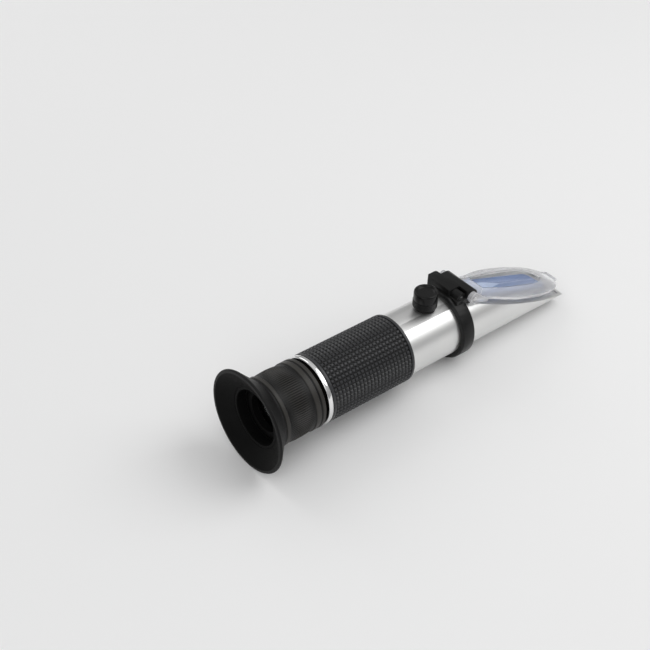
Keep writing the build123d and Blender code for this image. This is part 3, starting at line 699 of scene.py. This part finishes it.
class REFRACTOMETER_OT_barrel(bpy.types.Operator):
    """Make the aluminium barrel with its slanted nose, and the trim ring"""
    bl_idname = "refractometer.barrel"
    bl_label = "Barrel and Trim Ring"

    def execute(self, context):
        sizes = context.scene.refractometer_barrel
        self.make_shell(sizes)
        self.make_trim(sizes)
        return {"FINISHED"}

    def make_shell(self, sizes):
        """A tube that is closed at the nose and cut along the slant."""
        radius = TUBE_HIGH.y
        rear, nose = TUBE_LOW.x, TUBE_HIGH.x
        inner_nose = nose - sizes.nose_wall
        outline = rounded([
            (rear, radius, 0), (nose, radius, sizes.edge), (nose, 0, 0),
            (inner_nose, 0, 0), (inner_nose, sizes.bore, 0), (rear, sizes.bore, 0),
        ])
        mesh = lathe_mesh("barrel_shell", outline, turns=256)
        shape = bmesh.new()
        shape.from_mesh(mesh)
        cut = bmesh.ops.bisect_plane(
            shape, geom=shape.verts[:] + shape.edges[:] + shape.faces[:], dist=CUT_GAP,
            plane_co=SLANT_POINT - SLANT_NORMAL * sizes.face_rise, plane_no=SLANT_NORMAL, clear_outer=True)
        rim = [item for item in cut["geom_cut"] if isinstance(item, bmesh.types.BMEdge)]
        bmesh.ops.triangle_fill(shape, use_beauty=True, edges=rim)
        bmesh.ops.recalc_face_normals(shape, faces=shape.faces)
        shape.to_mesh(mesh)
        shape.free()
        shell = new_object("barrel_shell", mesh, [satin_aluminium()])
        self.drill(shell, sizes.bush_hole)
        hand_over(shell, "barrel", "satin_aluminium", "main_tube")

    def drill(self, shell, radius):
        """A hole through the top wall, under the knob, for the bush and the pad."""
        length = 2 * TUBE_HIGH.z
        outline = [(0, 0), (0, radius), (length, radius), (length, 0)]
        mesh = lathe_mesh("drill_bit", outline, turns=48, place=KNOB_UPRIGHT)
        bit = bpy.data.objects.new("drill_bit", mesh)
        cut = shell.modifiers.new("Bush hole", "BOOLEAN")
        cut.operation = "DIFFERENCE"
        cut.object = bit
        applied(shell)
        bpy.data.objects.remove(bit)

    def make_trim(self, sizes):
        """A round-edged hoop behind the grip."""
        low, high = TRIM_LOW.x, TRIM_HIGH.x
        radius = TRIM_HIGH.y
        outline = rounded([
            (low, sizes.bore, 0), (high, sizes.bore, 0), (high, radius, sizes.trim_edge),
            (low, radius, sizes.trim_edge),
        ], steps=6)
        hoop = new_object("trim_hoop", lathe_mesh("trim_hoop", outline), [polished_chrome()])
        hand_over(hoop, "barrel", "polished_chrome", "trim_ring")


class REFRACTOMETER_OT_grip(bpy.types.Operator):
    """Make the rubber grip: a sleeve with rolled borders, and rows of soft studs"""
    bl_idname = "refractometer.grip"
    bl_label = "Rubber Grip"

    def execute(self, context):
        sizes = context.scene.refractometer_grip
        low, high, radius = GRIP_LOW.x, GRIP_HIGH.x, GRIP_HIGH.y
        inner = TUBE_HIGH.y + RUBBER_GAP
        core = radius - sizes.stud_height
        front, rear = high - sizes.border, low + sizes.border
        roll = 0.35 * MM
        outline = rounded([
            (low, inner, 0), (high, inner, 0), (high, radius, roll), (front, radius, roll),
            (front, core, 0), (rear, core, 0), (rear, radius, roll), (low, radius, roll),
        ])
        sleeve = new_object("grip_sleeve", lathe_mesh("grip_sleeve", outline), [grip_rubber()])
        length = front - rear
        sink = 0.04 * MM  # how deep the studs stand in the sleeve
        stud = domed_stud("grip_stud", length / sizes.rows, 2 * pi * core / sizes.columns,
                          sizes.stud_height + sink, top=sizes.stud_top, steps=6)
        grown(sleeve, studs_tree(), {
            "Stud": stud, "Rows": sizes.rows, "Columns": sizes.columns, "Radius": core - sink,
            "Start": rear, "Length": length, "Material": grip_rubber(),
        })
        bpy.data.objects.remove(stud)
        hand_over(sleeve, "barrel", "black_rubber", "rubber_grip")
        return {"FINISHED"}


class REFRACTOMETER_OT_eyepiece(bpy.types.Operator):
    """Make the finely ribbed focus ring and the flared rubber eyecup"""
    bl_idname = "refractometer.eyepiece"
    bl_label = "Focus Ring and Eyecup"

    def execute(self, context):
        sizes = context.scene.refractometer_eyepiece
        self.make_ring(sizes)
        self.make_cup(sizes)
        return {"FINISHED"}

    def make_ring(self, sizes):
        """The ring is a lathe body with a groove and a ribbed belt, and its spigot goes into the eyecup."""
        front, radius = FOCUS_HIGH.x, FOCUS_HIGH.y
        rear, spigot_rear = CUP_HIGH.x, FOCUS_LOW.x
        core = radius - sizes.flute_height
        ribs_front = front - sizes.shoulder_front
        ribs_rear = rear + sizes.shoulder_rear
        slope = 0.32 * MM
        groove_front, groove_rear = front - 1.5 * MM, front - 2.4 * MM
        groove_floor = radius - slope
        groove_slope = 0.2 * MM
        rear_chamfer = 0.3 * MM
        soft, crisp, sharp = 0.2 * MM, 0.1 * MM, 0.05 * MM  # roundings
        # The skirt goes over the sleeve, and the wall inside it has the hole for the lens cell's neck.
        skirt = 11.13 * MM
        wall_front = rear + 2.75 * MM
        wall_rear = wall_front - 1.25 * MM
        hole = 9.05 * MM
        recess = 10.2 * MM
        outline = rounded([
            (front, skirt, 0), (front, radius - slope, soft), (front - slope, radius, soft),
            (groove_front, radius, crisp), (groove_front - groove_slope, groove_floor, sharp),
            (groove_rear + groove_slope, groove_floor, sharp), (groove_rear, radius, crisp),
            (ribs_front, radius, crisp), (ribs_front - slope, core, 0),
            (ribs_rear + slope, core, 0), (ribs_rear, radius, crisp),
            (rear + rear_chamfer, radius, soft), (rear, radius - rear_chamfer, crisp),
            (rear, sizes.spigot, 0), (spigot_rear, sizes.spigot, soft),
            (spigot_rear, sizes.spigot_bore, soft), (rear, sizes.spigot_bore, 0),
            (rear, recess, 0), (wall_rear, recess, 0), (wall_rear, hole, 0),
            (wall_front, hole, 0), (wall_front, skirt, 0),
        ])
        ring = new_object("focus_collar", lathe_mesh("focus_collar", outline), [ring_plastic()])
        length = ribs_front - ribs_rear
        rib_share = 0.86  # of the pitch
        sink = 0.03 * MM  # how deep the ribs stand in the ring
        rib = domed_stud("focus_rib", length, rib_share * 2 * pi * core / sizes.flutes,
                         sizes.flute_height + sink, top=0.1, steps=8)
        grown(ring, studs_tree(), {
            "Stud": rib, "Rows": 1, "Columns": sizes.flutes, "Radius": core - sink, "Start": ribs_rear,
            "Length": length, "Material": ring_plastic(),
        })
        bpy.data.objects.remove(rib)
        # The spigot inside the eyecup takes the darker dull black: painted shade
        repainted(ring, dull_black_and_painted_shade(), lambda face: face.center.x < rear - slope / 2)
        hand_over(ring, "focus_ring", "grey_plastic", "focus_ring")

    def make_cup(self, sizes):
        """The cup is a short collar and a flare that ends in a rounded lip."""
        front, rear, rim = CUP_HIGH.x, CUP_LOW.x, CUP_HIGH.y
        collar = FOCUS_HIGH.y
        throat = sizes.spigot + RUBBER_GAP
        collar_length, collar_rounding = 0.9 * MM, 0.2 * MM
        flare_rounding = 1.4 * MM
        rim_depth, rim_rounding = 0.75 * MM, 0.45 * MM
        lip_drop, lip_rounding, inner_rounding = 0.3 * MM, 0.35 * MM, 0.3 * MM
        outline = rounded([
            (front, throat, 0), (front, collar, collar_rounding),
            (front - collar_length, collar, flare_rounding), (rear + rim_depth, rim, rim_rounding),
            (rear, rim - lip_drop, lip_rounding), (rear, rim - sizes.lip, inner_rounding),
            (FOCUS_LOW.x - RUBBER_GAP, throat, 0),
        ], steps=6)
        cup = new_object("eyecup_flare", lathe_mesh("eyecup_flare", outline), [cup_rubber()])
        # The faces inside the cup take the darker dull black: painted shade
        painted_shade_from = rear + 0.1 * MM
        repainted(cup, dull_black_and_painted_shade(),
                  lambda face: face.normal.yz.dot(face.center.yz) < 0 and face.center.x > painted_shade_from)
        hand_over(cup, "focus_ring", "black_rubber", "eyecup")


class REFRACTOMETER_OT_knob(bpy.types.Operator):
    """Make the calibration knob: a dished cap over a base with hoops"""
    bl_idname = "refractometer.knob"
    bl_label = "Calibration Knob"

    def execute(self, context):
        sizes = context.scene.refractometer_knob
        foot, top = KNOB_LOW.z, KNOB_HIGH.z
        radius = (KNOB_HIGH.y - KNOB_LOW.y) / 2
        split = top - sizes.cap
        hoop = 0.26 * MM
        core = sizes.base - hoop
        dish_floor = top - sizes.dish
        foot_rounding, cap_rounding, crown_rounding = 0.1 * MM, 0.15 * MM, 0.7 * MM
        rim_rounding, dish_rounding = 0.5 * MM, 0.9 * MM
        # Below, a recess for the gasket and a blind hole for the screw's end
        recess, recess_roof = 3.1 * MM, foot + 1.2 * MM
        screw, screw_roof = 1.5 * MM, top - 2.5 * MM
        outline = rounded([
            (screw_roof, 0, 0), (screw_roof, screw, 0), (recess_roof, screw, 0), (recess_roof, recess, 0),
            (foot, recess, 0), (foot, core, foot_rounding), (split, core, 0),
            (split, radius, cap_rounding), (top, radius, crown_rounding),
            (top, radius - sizes.rim, rim_rounding),
            (dish_floor, radius - 2 * sizes.rim, dish_rounding), (dish_floor, 0, 0),
        ], steps=6)
        mesh = lathe_mesh("knob_cap", outline, turns=128, place=KNOB_UPRIGHT)
        knob = new_object("knob_cap", mesh, [knob_plastic()])
        margin = 0.1  # share of a pitch between the hoops and each end of the base
        pitch = (split - foot) / (sizes.ribs + 2 * margin)
        start = Vector((KNOB_CENTRE.x, KNOB_CENTRE.y, foot + (0.5 + margin) * pitch))
        grown(knob, rings_tree(), {
            "Count": sizes.ribs, "Radius": core, "Thickness": hoop, "Centre": start,
            "Pitch": pitch, "Material": knob_plastic(),
        })
        hand_over(knob, "calibration_knob", "black_plastic", "calibration_knob")
        return {"FINISHED"}


class REFRACTOMETER_OT_hinge(bpy.types.Operator):
    """Make the hinge band with soft edges"""
    bl_idname = "refractometer.hinge"
    bl_label = "Hinge Band"

    def execute(self, context):
        sizes = context.scene.refractometer_cover
        # The bevels take the second finish, a painted highlight along the band's edges
        band = softened_copy("hinge_bracket", "hinge_band", sizes.band_edge, segments=3,
                             materials=[black_coating(), painted_edge_highlight()], edge_material=1)
        hand_over(band, "barrel", "black_coated_metal", "hinge_band")
        return {"FINISHED"}


class REFRACTOMETER_OT_cover(bpy.types.Operator):
    """Make the clear cover with its bright edges, and the prism under it"""
    bl_idname = "refractometer.cover"
    bl_label = "Cover and Prism"

    def execute(self, context):
        sizes = context.scene.refractometer_cover
        # The bevels take the second finish, a painted highlight along the cover's edges
        cover = softened_copy("clear_cover", "cover_plate", sizes.cover_edge, segments=2,
                              materials=[cover_rim(), cover_edge()], edge_material=1)
        self.clear_window(cover)
        self.narrow_tab(cover.data, sizes)
        hand_over(cover, "cover_plate", "clear_plastic", "cover_plate")
        prism = softened_copy("prism_wedge", "prism", sizes.prism_edge, segments=2,
                              materials=[prism_blue()])
        hand_over(prism, "barrel", "blue_glass", "prism")
        return {"FINISHED"}

    def clear_window(self, cover):
        """The level faces take the clear finish: all of the underside, and the raised middle of the top."""
        level = 0.999
        top_height = 1.5 * MM
        half_width = 6 * MM

        def is_clear(face):
            facing = face.normal.dot(SLANT_NORMAL)
            height = (face.center - SLANT_POINT).dot(SLANT_NORMAL)
            on_top = height > top_height and abs(face.center.y) < half_width
            return face.material_index == 0 and abs(facing) > level and (facing < 0 or on_top)

        repainted(cover, cover_window(), is_clear)

    def narrow_tab(self, mesh, sizes):
        """The thumb tab narrows towards its end."""
        front = max(vert.co.dot(SLANT_ALONG) for vert in mesh.vertices)
        for vert in mesh.vertices:
            share = 1 - (front - vert.co.dot(SLANT_ALONG)) / sizes.tab
            if share > 0:
                vert.co.y *= 1 - sizes.tab_taper * share


FRAME_FINISHES = {
    "band_screw": bright_steel, "hinge_pin": bright_steel, "prism_seat": bed_metal,
    "prism_seal": bed_cement, "front_baffle": dull_black_and_painted_shade, "rear_baffle": dull_black_and_painted_shade,
    "screw_bush": turned_brass, "knob_gasket": seal_rubber, "carrier_pivots": bright_steel,
    "return_spring": bright_steel, "eyepiece_sleeve": blackened_brass, "guide_pin": bright_steel,
    "reticle": clear_glass, "reticle_ring": turned_brass, "lens_carrier": dull_black_and_painted_shade,
    "objective_lens": clear_glass, "objective_ring": turned_brass, "thrust_pad": bright_steel,
    "calibration_screw": turned_brass, "lens_cell": dull_black_and_painted_shade, "field_lens": clear_glass,
    "lens_spacer": dull_black_and_painted_shade, "field_ring": turned_brass, "cell_retainer": dull_black_and_painted_shade,
}


class REFRACTOMETER_OT_inner_parts(bpy.types.Operator):
    """Give the frame's own pieces their finishes, and make the eye lens with a soft edge"""
    bl_idname = "refractometer.inner_parts"
    bl_label = "Inner Parts"

    def execute(self, context):
        for node, finish in FRAME_FINISHES.items():
            mesh = frame["nodes"][node].data
            mesh.materials.clear()
            mesh.materials.append(finish())
            mesh.polygons.foreach_set("material_index", [0] * len(mesh.polygons))
        edge = context.scene.refractometer_eyepiece.lens_edge
        lens = softened_copy("eye_glass", "eye_lens", edge, segments=1, materials=[clear_glass()])
        hand_over(lens, "eyepiece_cell", "clear_glass", "eye_lens")
        return {"FINISHED"}


class REFRACTOMETER_OT_stage(bpy.types.Operator):
    """Set the pale floor, the soft lamps, the sky and the camera"""
    bl_idname = "refractometer.stage"
    bl_label = "Stage"

    def execute(self, context):
        stage = context.scene.refractometer_stage
        self.lay_floor(stage)
        self.hang_lamps()
        self.set_sky(context, stage)
        self.place_camera(context, stage)
        context.scene.view_settings.view_transform = "Standard"
        return {"FINISHED"}

    def lay_floor(self, stage):
        """The floor touches the eyecup's rim and the lower end of the nose."""
        heel = Vector((CUP_LOW.x, 0, CUP_LOW.z))
        toe = Vector((TUBE_HIGH.x, 0, TUBE_LOW.z))
        along = (toe - heel).normalized()
        half = stage.floor_side / 2
        across = Vector((0, half, 0))
        mesh = bpy.data.meshes.new("floor")
        corners = [heel - along * half - across, heel + along * half - across,
                   heel + along * half + across, heel - along * half + across]
        mesh.from_pydata(corners, [], [(0, 1, 2, 3)])
        paper, _, _ = shader("floor_paper", stage.floor_colour[:], roughness=0.9, specular=0.2)
        mesh.materials.append(paper)
        floor = bpy.data.objects.new("floor", mesh)
        bpy.context.scene.collection.objects.link(floor)

    def hang_lamps(self):
        """Each lamp: name, place, side and power. All of them face the barrel."""
        lamps = (
            ("key_lamp", (0.40, -0.26, 0.62), 0.6, 2.4),
            ("fill_lamp", (-0.60, -0.30, 0.45), 0.6, 1.2),
            ("rim_lamp", (-0.05, 0.60, 0.45), 0.5, 0.9),
        )
        for name, place, side, power in lamps:
            lamp = bpy.data.lights.new(name, "AREA")
            lamp.shape = "SQUARE"
            lamp.size = side
            lamp.energy = power
            holder = bpy.data.objects.new(name, lamp)
            holder.location = place
            holder.rotation_euler = Vector(place).to_track_quat("Z", "Y").to_euler()
            bpy.context.scene.collection.objects.link(holder)

    def set_sky(self, context, stage):
        """A sky that fades from the zenith to the horizon, and plain white behind the object."""
        world = bpy.data.worlds.new("soft_sky")
        context.scene.world = world
        world.use_nodes = True
        tree = world.node_tree
        tree.nodes.clear()
        place = add_node(tree, "ShaderNodeTexCoord")
        parts = add_node(tree, "ShaderNodeSeparateXYZ", {"Vector": place.outputs["Generated"]})
        fade = add_node(tree, "ShaderNodeMapRange", {
            "Value": parts.outputs["Z"], "From Min": -0.1, "From Max": 0.9, "To Min": 0.35, "To Max": 1.0})
        strength = arithmetic(tree, "MULTIPLY", fade.outputs[0], stage.sky)
        soft = add_node(tree, "ShaderNodeBackground", {"Color": (1, 1, 1, 1), "Strength": strength})
        white = add_node(tree, "ShaderNodeBackground", {"Color": (1, 1, 1, 1), "Strength": 1.0})
        rays = add_node(tree, "ShaderNodeLightPath")
        mix = add_node(tree, "ShaderNodeMixShader", {
            0: rays.outputs["Is Camera Ray"], 1: soft.outputs[0], 2: white.outputs[0]})
        add_node(tree, "ShaderNodeOutputWorld", {"Surface": mix.outputs[0]})

    def place_camera(self, context, stage):
        """The photograph's viewing angle on a square picture."""
        camera = bpy.data.cameras.new("photo_view")
        camera.sensor_width = 36.0
        camera.lens = stage.lens
        camera.clip_start = 0.01
        holder = bpy.data.objects.new("photo_view", camera)
        holder.location = stage.camera_place
        holder.rotation_euler = stage.camera_turn
        context.scene.collection.objects.link(holder)
        context.scene.camera = holder


class REFRACTOMETER_PT_sidebar(bpy.types.Panel):
    """The refractometer's settings and steps"""
    bl_label = "Refractometer"
    bl_idname = "REFRACTOMETER_PT_sidebar"
    bl_space_type = "VIEW_3D"
    bl_region_type = "UI"
    bl_category = "Refractometer"

    def draw(self, context):
        for attribute, settings in SETTINGS.items():
            box = self.layout.box()
            box.label(text=settings.__doc__)
            group = getattr(context.scene, attribute)
            for name in settings.__annotations__:
                box.prop(group, name)
        for operator in OPERATORS:
            self.layout.operator(operator.bl_idname)


SETTINGS = {
    "refractometer_barrel": BarrelSettings,
    "refractometer_grip": GripSettings,
    "refractometer_eyepiece": EyepieceSettings,
    "refractometer_knob": KnobSettings,
    "refractometer_cover": CoverSettings,
    "refractometer_stage": StageSettings,
}
OPERATORS = (
    REFRACTOMETER_OT_barrel,
    REFRACTOMETER_OT_grip,
    REFRACTOMETER_OT_eyepiece,
    REFRACTOMETER_OT_knob,
    REFRACTOMETER_OT_hinge,
    REFRACTOMETER_OT_cover,
    REFRACTOMETER_OT_inner_parts,
    REFRACTOMETER_OT_stage,
)


def register():
    """Tell Blender of the classes, and give its scenes the settings."""
    for attribute, settings in SETTINGS.items():
        bpy.utils.register_class(settings)
        setattr(bpy.types.Scene, attribute, PointerProperty(type=settings))
    for operator in OPERATORS:
        bpy.utils.register_class(operator)
    bpy.utils.register_class(REFRACTOMETER_PT_sidebar)


def unregister():
    """Take the classes and the settings away again."""
    bpy.utils.unregister_class(REFRACTOMETER_PT_sidebar)
    for operator in reversed(OPERATORS):
        bpy.utils.unregister_class(operator)
    for attribute, settings in SETTINGS.items():
        delattr(bpy.types.Scene, attribute)
        bpy.utils.unregister_class(settings)


def main():
    """Run each step in order."""
    register()
    bpy.ops.refractometer.barrel()
    bpy.ops.refractometer.grip()
    bpy.ops.refractometer.eyepiece()
    bpy.ops.refractometer.knob()
    bpy.ops.refractometer.hinge()
    bpy.ops.refractometer.cover()
    bpy.ops.refractometer.inner_parts()
    bpy.ops.refractometer.stage()


if __name__ == "__main__":
    main()
